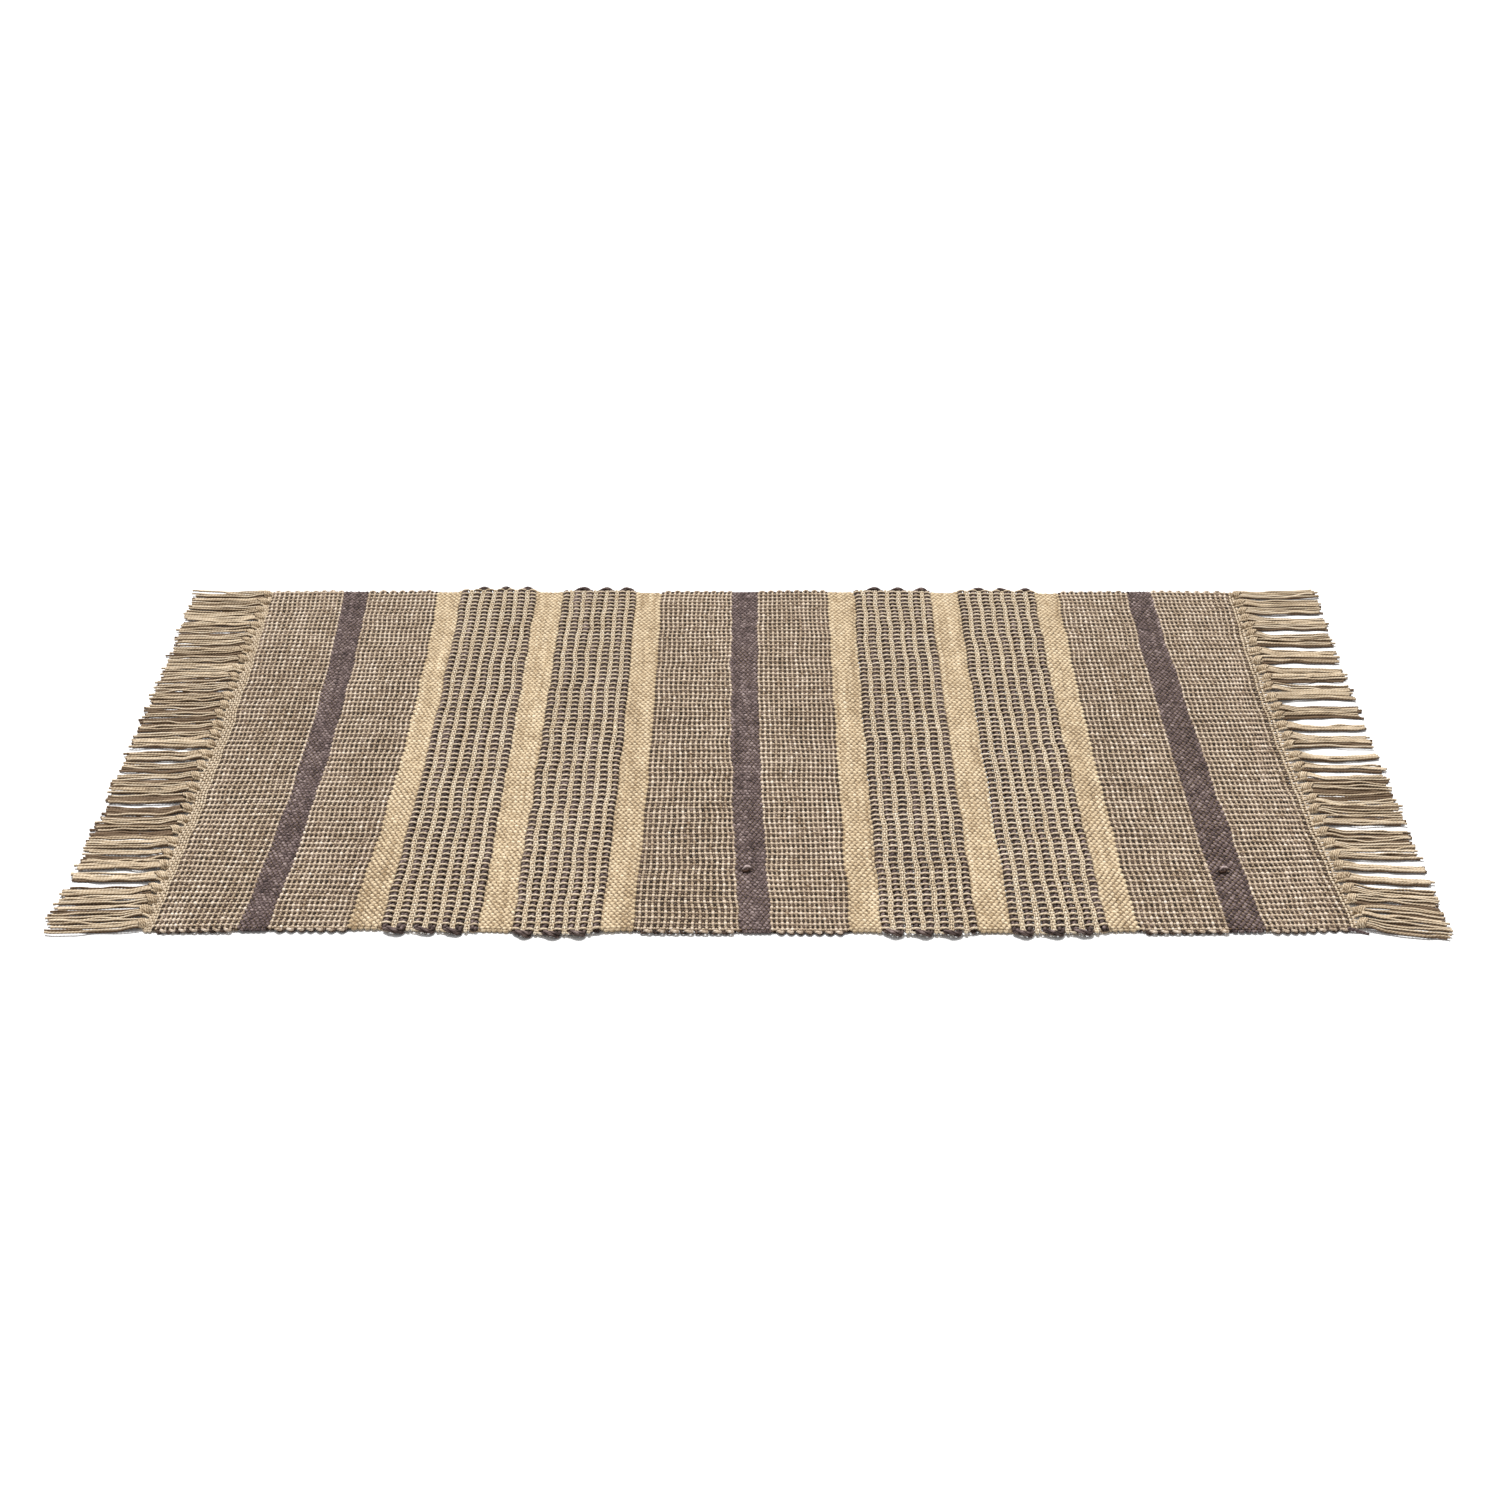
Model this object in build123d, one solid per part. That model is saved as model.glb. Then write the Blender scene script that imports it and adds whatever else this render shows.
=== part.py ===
from build123d import *
import os

# A flat-woven bath mat with a knotted fringe, lying flat. Millimetres.
# X runs along the warps, from one fringe to the other. Y runs along the wefts. Z is up.
# The origin is on the floor, under the middle of the mat.

# Woven body
mat_depth = 600.0            # selvedge to selvedge, over the edge yarns
edge_yarn = 3.0              # how far the turned edge yarns stand outside the cloth
cloth_depth = mat_depth - 2 * edge_yarn
plain_thickness = 3.6        # headers, plain stripes and the ground between the thick wefts
check_thickness = 4.4        # the checks have thicker yarns
edge_round = 1.5             # the cloth's edges are soft, not square

# Bands from the left fringe to the right. All but the outer checks and headers are a mirror image.
inner_bands = [("dark", 22.0), ("check", 64.0), ("sand", 22.0), ("dash", 70.0), ("sand", 25.0),
               ("dash", 69.0), ("sand", 24.0), ("check", 66.0)]
middle_band = ("dark", 24.0)
bands = [("header", 10.0), ("check", 66.0)] + inner_bands + [middle_band]
bands += inner_bands[::-1] + [("check", 71.0), ("header", 5.0)]
cloth_length = sum(width for kind, width in bands)

# Thick dark wefts of the dash bands
cords_per_band = 7
cord_width = 6.4
cord_top = 5.4
cord_bottom = 1.0            # the warps that pass below a thick weft fill this gap
cord_round = 1.8
turn_height = 3.4            # where a thick weft turns back at the edge
turn_bottom = 0.6

# Beaded edge of the checks, where dark and sand wefts cross over
twist_radius = 1.3

# Fringe
knot_count = 34
knot_length = 9.0
knot_radius = 4.4
knot_round = 2.4
warp_count = 148
warp_radius = 1.0
strand_length = 63.0
strand_pitch_at_knot = 2.05
strand_pitch_at_tip = 3.7

# Loose details
splice_size = (4.4, 3.0, 2.4)
splice_places = [(-4.0, -214.0), (360.0, -214.0)]
tail_radius = 0.9
tail_route = [(445.0, -298.4, 2.2), (449.5, -298.8, 1.6), (454.0, -298.2, 1.0), (458.5, -299.0, 0.9)]
tail_bend = 9.0


def rounded_slab(x_low, width, thickness):
    """One band of cloth, with soft front and back edges and a flat underside."""
    slab = Pos(x_low + width / 2, 0, thickness / 2) * Box(width, cloth_depth, thickness)
    ends = slab.faces().filter_by(Axis.Y).edges().filter_by(Axis.X)
    return fillet(ends, edge_round)


def cord_centres(x_low, width):
    """Middle lines of the thick wefts, which fill a dash band from edge to edge."""
    pitch = (width - cord_width) / (cords_per_band - 1)
    return [x_low + cord_width / 2 + pitch * i for i in range(cords_per_band)]


def thick_weft(x):
    """One thick dark weft, lying in its groove in the ground cloth."""
    height = cord_top - cord_bottom
    bar = Pos(x, 0, cord_bottom + height / 2) * Box(cord_width, cloth_depth, height)
    top_edges = bar.faces().sort_by(Axis.Z)[-1].edges()
    return fillet(top_edges, cord_round)


def dash_ground(x_low, width):
    """The thin cloth of a dash band, with a groove for each thick weft."""
    ground = rounded_slab(x_low, width, plain_thickness)
    groove_height = plain_thickness - cord_bottom
    for x in cord_centres(x_low, width):
        groove = Box(cord_width, mat_depth, groove_height)
        ground -= Pos(x, 0, cord_bottom + groove_height / 2) * groove
    return ground


def cord_turns(x_low, width, side):
    """Where the thick wefts turn back: the pairs at the front edge differ from those at the back."""
    centres = cord_centres(x_low, width)
    first = 0 if side < 0 else 1
    y = side * (cloth_depth / 2 + edge_yarn / 2)
    turns = []
    for i in range(first, cords_per_band - 1, 2):
        x = (centres[i] + centres[i + 1]) / 2
        length = centres[i + 1] - centres[i] + cord_width
        outline = Pos(x, y, turn_bottom) * SlotOverall(length, edge_yarn)
        turns.append(extrude(outline, turn_height))
    return turns


def edge_twist(x_low, width, side):
    """The beaded yarn along one edge of a check band."""
    y = side * (cloth_depth / 2 + twist_radius)
    start = Plane(origin=(x_low, y, check_thickness / 2), z_dir=(1, 0, 0))
    return Solid.make_cylinder(twist_radius, width, start)


def knot_y(k):
    """Middle of knot k, counted from the front."""
    return ((k + 0.5) / knot_count - 0.5) * cloth_depth


def fringe_knot(k, side):
    """One knot of the fringe, against the end of its header."""
    start = Plane(origin=(side * cloth_length / 2, knot_y(k), knot_radius), z_dir=(side, 0, 0))
    knot = Solid.make_cylinder(knot_radius, knot_length, start)
    return fillet(knot.edges().filter_by(GeomType.CIRCLE), knot_round)


def tassel(k, side):
    """The cut warp ends that leave knot k side by side and fan out a little."""
    strands = round(warp_count * (k + 1) / knot_count) - round(warp_count * k / knot_count)
    x = side * (cloth_length / 2 + knot_length)
    made = []
    for i in range(strands):
        step = i - (strands - 1) / 2
        start = Vector(x, knot_y(k) + step * strand_pitch_at_knot, warp_radius)
        tip = Vector(x + side * strand_length, knot_y(k) + step * strand_pitch_at_tip, warp_radius)
        run = tip - start
        made.append(Solid.make_cylinder(warp_radius, run.length, Plane(origin=start, z_dir=run)))
    return made


def splice_knot(x, y):
    """A small weft joint that stands up on a dark stripe."""
    bead = Pos(x, y, plain_thickness + splice_size[2] / 2) * Box(*splice_size)
    return fillet(bead.faces().sort_by(Axis.Z)[-1].edges(), splice_size[2] / 3)


def weft_tail():
    """The loose end of the last dark weft, at the front right corner."""
    route = FilletPolyline(*tail_route, radius=tail_bend)
    section = Plane(origin=route @ 0, z_dir=route % 0) * Circle(tail_radius)
    return sweep(section, path=route)


def save(name, shapes):
    """Write one node: one solid, or a group of separate solids."""
    solids = [solid for shape in shapes for solid in shape.solids()]
    export_step(Compound(solids), f"parts/{name}.step")


os.makedirs("parts", exist_ok=True)

thickness_of = {"header": plain_thickness, "check": check_thickness,
                "dark": plain_thickness, "sand": plain_thickness}
label_of = {"check": "check_band", "dark": "dark_stripe", "sand": "sand_stripe"}
seen = {"check": 0, "dark": 0, "sand": 0, "dash": 0}
turns = {-1: [], 1: []}
twists = {-1: [], 1: []}

x_low = -cloth_length / 2
for kind, width in bands:
    if kind == "header":
        save("header_left" if x_low < 0 else "header_right", [rounded_slab(x_low, width, plain_thickness)])
    else:
        seen[kind] += 1
    if kind in label_of:
        slab = rounded_slab(x_low, width, thickness_of[kind])
        save(f"{label_of[kind]}_{seen[kind]}", [slab])
    if kind == "dash":
        save(f"dash_ground_{seen[kind]}", [dash_ground(x_low, width)])
        save(f"dash_cords_{seen[kind]}", [thick_weft(x) for x in cord_centres(x_low, width)])
    for side in (-1, 1):
        if kind == "dash":
            turns[side] += cord_turns(x_low, width, side)
        if kind == "check":
            twists[side].append(edge_twist(x_low, width, side))
    x_low += width

for side, word in ((-1, "front"), (1, "back")):
    save(f"cord_turns_{word}", turns[side])
    save(f"edge_twists_{word}", twists[side])

for side, word in ((-1, "left"), (1, "right")):
    save(f"fringe_knots_{word}", [fringe_knot(k, side) for k in range(knot_count)])
    save(f"tassels_{word}", [strand for k in range(knot_count) for strand in tassel(k, side)])

save("splice_knots", [splice_knot(x, y) for x, y in splice_places])
save("weft_tail", [weft_tail()])
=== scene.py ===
import math

import bpy
import numpy as np
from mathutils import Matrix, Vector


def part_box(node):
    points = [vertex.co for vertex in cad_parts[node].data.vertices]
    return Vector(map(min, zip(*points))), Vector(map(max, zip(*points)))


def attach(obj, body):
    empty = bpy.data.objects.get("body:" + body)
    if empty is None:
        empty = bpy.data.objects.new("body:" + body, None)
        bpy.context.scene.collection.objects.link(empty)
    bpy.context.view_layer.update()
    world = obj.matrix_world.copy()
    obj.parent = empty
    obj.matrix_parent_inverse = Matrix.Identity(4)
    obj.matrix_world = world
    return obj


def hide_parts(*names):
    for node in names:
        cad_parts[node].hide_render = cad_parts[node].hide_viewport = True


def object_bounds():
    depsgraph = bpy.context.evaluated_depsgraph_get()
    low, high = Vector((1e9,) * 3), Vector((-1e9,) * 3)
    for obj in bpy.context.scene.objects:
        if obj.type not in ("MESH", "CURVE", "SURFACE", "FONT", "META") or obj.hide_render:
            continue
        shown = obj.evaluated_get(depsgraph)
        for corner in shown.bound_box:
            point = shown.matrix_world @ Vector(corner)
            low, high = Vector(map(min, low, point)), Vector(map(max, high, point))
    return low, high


# The looks of a flat-woven bath mat, yarn by yarn. Metres, in the frame of the CAD model.
# Warps run along X and wefts along Y. Every yarn is a closed tube of its own.

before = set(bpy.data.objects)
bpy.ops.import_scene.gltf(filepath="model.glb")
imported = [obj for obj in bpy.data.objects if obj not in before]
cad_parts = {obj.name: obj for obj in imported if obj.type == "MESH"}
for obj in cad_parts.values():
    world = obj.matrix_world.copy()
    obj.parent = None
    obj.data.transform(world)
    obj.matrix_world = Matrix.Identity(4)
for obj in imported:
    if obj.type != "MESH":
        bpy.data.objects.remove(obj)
cad_box = [list(corner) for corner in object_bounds()]

MM = 0.001
rng = np.random.default_rng(20)

# ---------------------------------------------------------------- sizes, in millimetres
WARP_COUNT = 148
KNOT_COUNT = 34              # at each end
WARP_WIDE = 1.0              # half width of a warp
WARP_HIGH = 0.92             # half height of a warp
CLOTH_MIDDLE = 2.1           # height of the middle of the cloth
DASH_MIDDLE = 3.15           # the thick wefts lift the dash bands
EDGE_CROWDING = 0.04         # the warps lie closer together near the front and back edges
CORDS_PER_BAND = 7           # thick wefts in a dash band
CORD_STEPS = (-2.9, -1.6, 0.0, 1.6, 2.9)    # where a warp is bent around a thick weft
FINE_PITCH = 1.4             # between the fine wefts in a gap between two thick ones
FINE_PER_GAP = 3

# How each kind of pick lies: half width, half height, how far the warps rise over it, how far it
# bends under and over the warps, and how narrow it gets between two warps
PICKS = {
    "plain": (0.95, 0.85, 0.65, 0.85, 0.85),
    "check_dark": (1.15, 0.90, 0.78, 1.00, 0.80),
    "check_sand": (1.36, 0.92, 0.70, 1.10, 0.74),
    "dark": (1.62, 0.85, 0.15, 1.28, 0.53),
    "sand": (1.75, 0.90, 0.20, 1.10, 0.60),
    "cord": (3.00, 1.90, 2.25, 0.60, 0.94),
    "fine": (0.72, 0.62, 0.50, 0.60, 0.90),
}
CHECK_PITCH = 4.25           # from one dark pick to the next
PICK_PITCH = {"header": 2.0, "dark": 1.85, "sand": 2.1}

# Where the cloth isn't square: place along the mat, reach, shift, lean to the back, and bow
SWAYS = [
    (-458, 12, 6.7, 1.0, -4.5),
    (-437, 12, -0.9, 2.6, 3.5),
    (-400, 60, -2.5, 1.5, 6.0),
    (-360, 30, -1.5, 1.0, 5.0),
    (-290, 30, -5.0, -2.0, 7.0),
    (-190, 60, -2.0, 0.0, 0.5),
    (-90, 40, -5.0, -1.5, 2.5),
    (0, 45, 2.5, 5.0, -4.0),
    (90, 60, -3.0, 0.5, -1.0),
    (183, 30, -0.8, 0.0, -0.8),
    (280, 50, 1.0, -0.5, -3.0),
    (352, 16, -1.5, -1.5, -1.0),
    (372, 40, 5.0, 3.0, -2.0),
    (440, 12, 2.0, -1.5, -8.0),
    (460, 12, 3.2, -0.8, -2.0),
]
# How far each kind of band stands out at its front and back edges
EDGE_OUT = {"header": 0.0, "check": 0.3, "dark": 0.0, "sand": -2.6, "dash": 1.8}
EDGE_OUT_POWER = 16          # only the last centimetres near an edge are moved
# Where the front edge bows out or in: place along the mat, reach and amount
FRONT_BOWS = [(140, 200, 3.0), (-140, 45, 3.0), (-300, 60, -1.5), (442, 26, -3.6)]
FRONT_BOW_POWER = 5


# ---------------------------------------------------------------- the layout of the cloth
def find_bands():
    """The bands from left to right, as (low x, high x, kind, node)."""
    kinds = {"header": "header", "check_band": "check", "dark_stripe": "dark",
             "sand_stripe": "sand", "dash_ground": "dash"}
    found = []
    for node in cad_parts:
        for start, kind in kinds.items():
            if node.startswith(start):
                low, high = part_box(node)
                found.append((low.x, high.x, kind, node))
    return sorted(found)


bands = find_bands()
end_x = bands[-1][1]
edge_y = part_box("header_left")[1].y
half_depth = cad_box[1][1]


def smooth(a):
    """0 up to 0, 1 from 1 on, and a smooth step between."""
    a = np.clip(a, 0, 1)
    return a * a * (3 - 2 * a)


def waves(count, shortest, longest, amount):
    """A smooth random field over the cloth, as a sum of plane waves. Lengths in millimetres."""
    length = rng.uniform(shortest, longest, count) * MM
    heading = rng.uniform(0, 2 * math.pi, count)
    phase = rng.uniform(0, 2 * math.pi, count)

    def field(x, y):
        total = np.zeros(np.broadcast(x, y).shape)
        for size, angle, start in zip(length, heading, phase):
            run = x * math.cos(angle) + y * math.sin(angle)
            total += np.cos(2 * math.pi * run / size + start)
        return amount * math.sqrt(2 / count) * total

    return field


def drift(count, every, amount):
    """A smooth random wander of count values, with a new target each so many values."""
    targets = rng.normal(0, amount, int(count / every) + 3)
    at = np.arange(count) / every
    step = at.astype(int)
    share = smooth(at - step)
    return targets[step] * (1 - share) + targets[step + 1] * share


weft_stray = waves(9, 25, 110, 0.45 * MM)
warp_stray = waves(9, 40, 150, 0.45 * MM)
ripple = waves(7, 90, 260, 0.22 * MM)


def window(x, low, high, soft):
    """1 from low to high and 0 outside, with soft ends."""
    return 0.5 * (np.tanh((x - low) / soft) - np.tanh((x - high) / soft))


def share_of(kind, x):
    """1 in the bands of a kind, 0 in the others, and a soft step between."""
    return sum(window(x, low, high, 3 * MM) for low, high, other, node in bands if other == kind)


def middle_height(x):
    """The height of the middle of the cloth."""
    return CLOTH_MIDDLE * MM + (DASH_MIDDLE - CLOTH_MIDDLE) * MM * share_of("dash", x)


def lay(x, y):
    """Move points of the perfectly square cloth to where they lie."""
    across = y / half_depth
    moved_x = x + weft_stray(x, y)
    for place, reach, shift, lean, bow in SWAYS:
        share = np.exp(-((x - place * MM) / (reach * MM)) ** 2)
        moved_x = moved_x + share * MM * (shift - lean * across + bow * (1 - across ** 2))
    out = sum(window(x, low, high, 4 * MM) * EDGE_OUT[kind] for low, high, kind, node in bands)
    out = out * np.abs(across) ** EDGE_OUT_POWER
    for place, reach, amount in FRONT_BOWS:
        share = np.exp(-((x - place * MM) / (reach * MM)) ** 2)
        out = out + share * amount * (across < 0) * np.abs(across) ** FRONT_BOW_POWER
    moved_y = y + warp_stray(x, y) + np.sign(y) * out * MM
    return moved_x, moved_y


def warp_place(i):
    """Y of warp i, or of the middle of a group of warps, counted from the front."""
    u = (i + 0.5) / WARP_COUNT * 2 - 1
    return edge_y * (u * (1 + EDGE_CROWDING) - EDGE_CROWDING * u ** 3)


# ---------------------------------------------------------------- picks
class Pick:
    """One weft laid across the mat."""

    def __init__(self, x, kind, yarn, band):
        self.x = x
        self.kind = kind
        self.yarn = yarn
        self.band = band
        self.wide, self.high, self.rise, self.dip, self.narrow = PICKS[kind]


def dash_picks(low, high, node):
    """Thick wefts with fine picks in the gaps between them."""
    half = PICKS["cord"][0] * MM
    step = (high - low - 2 * half) / (CORDS_PER_BAND - 1)
    made = []
    for c in range(CORDS_PER_BAND):
        x = low + half + step * c
        made.append(Pick(x, "cord", "cord", node))
        if c < CORDS_PER_BAND - 1:
            for f in range(FINE_PER_GAP):
                offset = (f - (FINE_PER_GAP - 1) / 2) * FINE_PITCH * MM
                made.append(Pick(x + step / 2 + offset, "fine", "fine", node))
    return made


def all_picks():
    """Every pick of the mat, from left to right."""
    made = []
    before = None
    for low, high, kind, node in bands:
        if kind == "dash":
            made += dash_picks(low, high, node)
        elif kind == "check":
            count = 2 * round((high - low) / (CHECK_PITCH * MM))
            dark_first = before != "dark"
            for k in range(count):
                yarn = "dark" if (k % 2 == 0) == dark_first else "sand"
                x = low + (high - low) * (k + 0.5) / count
                made.append(Pick(x, "check_" + yarn, yarn, node))
        else:
            count = round((high - low) / (PICK_PITCH[kind] * MM))
            for k in range(count):
                x = low + (high - low) * (k + 0.5) / count
                style = "plain" if kind == "header" else kind
                made.append(Pick(x, style, "warp" if kind == "header" else kind, node))
        before = kind
    return made


picks = all_picks()
for number, pick in enumerate(picks):
    pick.number = number


# ---------------------------------------------------------------- tubes and pieces
YARN_SIDES = 6               # the thin yarns are six-sided tubes with smooth shading
PLY_TURN = 5.5               # one turn of the two plies of a yarn, in millimetres
TIP_LENGTH = 0.3             # how pointed a cut end is, in shares of the yarn's half height


def unit(vectors):
    """The same directions with length 1."""
    return vectors / (np.linalg.norm(vectors, axis=1)[:, None] + 1e-12)


def length_along(path):
    """The length of a line from its start to each of its points."""
    steps = np.linalg.norm(np.diff(path, axis=0), axis=1)
    return np.concatenate([[0], np.cumsum(steps)])


def directions(path, up=(0, 0, 1)):
    """The directions along, beside and above a line at each of its points."""
    tangent = unit(np.gradient(path, axis=0))
    side = unit(np.cross(tangent, np.broadcast_to(up, path.shape)))
    return tangent, side, np.cross(side, tangent)


def ring_angles(sides):
    """Where the vertices of a ring lie around a yarn."""
    return 2 * math.pi * (np.arange(sides) + 0.5) / sides


def tube_rings(path, wide, high, sides, up=(0, 0, 1), groove=0.0):
    """The rings of vertices around a yarn that follows path, the length along it, and its tips.

    A groove makes it a two-ply yarn, whose plies wind around each other.
    """
    tangent, side, lift = directions(path, up)
    along = length_along(path)
    angle = ring_angles(sides)
    turned = 2 * math.pi * along[:, None] / (PLY_TURN * MM)
    shape = 1 + groove * np.cos(2 * (angle[None, :] - turned))
    across = (np.broadcast_to(wide, len(path))[:, None] * np.cos(angle) * shape)[..., None]
    above = (np.broadcast_to(high, len(path))[:, None] * np.sin(angle) * shape)[..., None]
    rings = path[:, None, :] + across * side[:, None, :] + above * lift[:, None, :]
    tip = TIP_LENGTH * np.min(high)
    ends = np.stack([path[0] - tangent[0] * tip, path[-1] + tangent[-1] * tip])
    return rings, along, ends


def painted_recess_light(rings, middle, reach):
    """Painted shade by depth: 0 deep between the yarns, where the colour is painted darkest, 1 at
    the two faces of the cloth.
    """
    height = np.abs(rings[..., 2] - np.asarray(middle)[:, None]) / reach
    return smooth((height - 0.25) / 0.70)


class Yarns:
    """The yarns of one piece, collected as closed tubes and then made into one mesh."""

    def __init__(self):
        self.points = []
        self.corners = []
        self.faces = []
        self.uvs = []
        self.slots = []
        self.tints = []
        self.painted_lights = []
        self.count = 0

    def add(self, rings, along, ends, tint=0.0, slot=0, opened=1.0):
        """One tube with a pointed cap at each end."""
        length, sides = rings.shape[:2]
        first = self.count
        self.points += [rings.reshape(-1, 3), ends]
        self.count += length * sides + 2
        tints = np.broadcast_to(tint, length)
        self.tints += [np.repeat(tints, sides), tints[[0, -1]]]
        # How much colour each point keeps under the painted shade
        painted_lights = np.broadcast_to(opened, (length, sides))
        self.painted_lights += [painted_lights.reshape(-1), painted_lights[[0, -1]].mean(1)]
        ring = np.arange(length - 1)[:, None] * sides
        here = np.arange(sides)[None, :]
        there = (here + 1) % sides
        quads = np.stack([ring + here, ring + sides + here, ring + sides + there, ring + there], -1)
        self.corners.append(quads.reshape(-1) + first)
        u = np.broadcast_to(np.arange(sides)[None, :] / sides, (length - 1, sides))
        v = np.broadcast_to(along[:-1, None], (length - 1, sides))
        w = np.broadcast_to(along[1:, None], (length - 1, sides))
        step = 1 / sides
        uv = np.stack([u, v, u, w, u + step, w, u + step, v], -1)
        self.uvs.append(uv.reshape(-1, 2))
        cap_start = first + length * sides
        last = first + (length - 1) * sides
        k = np.arange(sides)
        nxt = (k + 1) % sides
        start_cap = np.stack([np.full(sides, cap_start), first + k, first + nxt], -1)
        end_cap = np.stack([np.full(sides, cap_start + 1), last + nxt, last + k], -1)
        self.corners += [start_cap.reshape(-1), end_cap.reshape(-1)]
        for at in (along[0], along[-1]):
            cap = np.stack([k / sides, np.full(sides, at)] * 3, -1).reshape(-1, 2)
            self.uvs.append(cap)
        quad_count = (length - 1) * sides
        self.faces.append(np.concatenate([np.full(quad_count, 4), np.full(2 * sides, 3)]))
        self.slots.append(np.full(quad_count + 2 * sides, slot))

    def build(self, name, materials):
        """The collected yarns as one object."""
        mesh = bpy.data.meshes.new(name)
        points = np.concatenate(self.points)
        points[:, 2] = np.maximum(points[:, 2], 0.05 * MM)
        corners = np.concatenate(self.corners)
        sizes = np.concatenate(self.faces)
        mesh.vertices.add(len(points))
        mesh.vertices.foreach_set("co", points.ravel())
        mesh.loops.add(len(corners))
        mesh.loops.foreach_set("vertex_index", corners.astype(np.int32))
        mesh.polygons.add(len(sizes))
        starts = np.concatenate([[0], np.cumsum(sizes)[:-1]])
        mesh.polygons.foreach_set("loop_start", starts.astype(np.int32))
        mesh.polygons.foreach_set("material_index", np.concatenate(self.slots).astype(np.int32))
        mesh.polygons.foreach_set("use_smooth", np.ones(len(sizes), bool))
        layer = mesh.uv_layers.new(name="yarn")
        layer.uv.foreach_set("vector", np.concatenate(self.uvs).astype(np.float32).ravel())
        for name_of_layer, values in (("tint", self.tints), ("painted_light_share", self.painted_lights)):
            attribute = mesh.attributes.new(name_of_layer, "FLOAT", "POINT")
            attribute.data.foreach_set("value", np.concatenate(values).astype(np.float32))
        for material in materials:
            mesh.materials.append(material)
        mesh.update(calc_edges=True)
        piece = bpy.data.objects.new(name, mesh)
        bpy.context.scene.collection.objects.link(piece)
        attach(piece, "root")
        return piece


# ---------------------------------------------------------------- materials
# Painted shade: how much red, green and blue light is left deep between the yarns, multiplied into
# their colour
PAINTED_RECESS_SHADE = (0.15, 0.092, 0.055)


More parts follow.
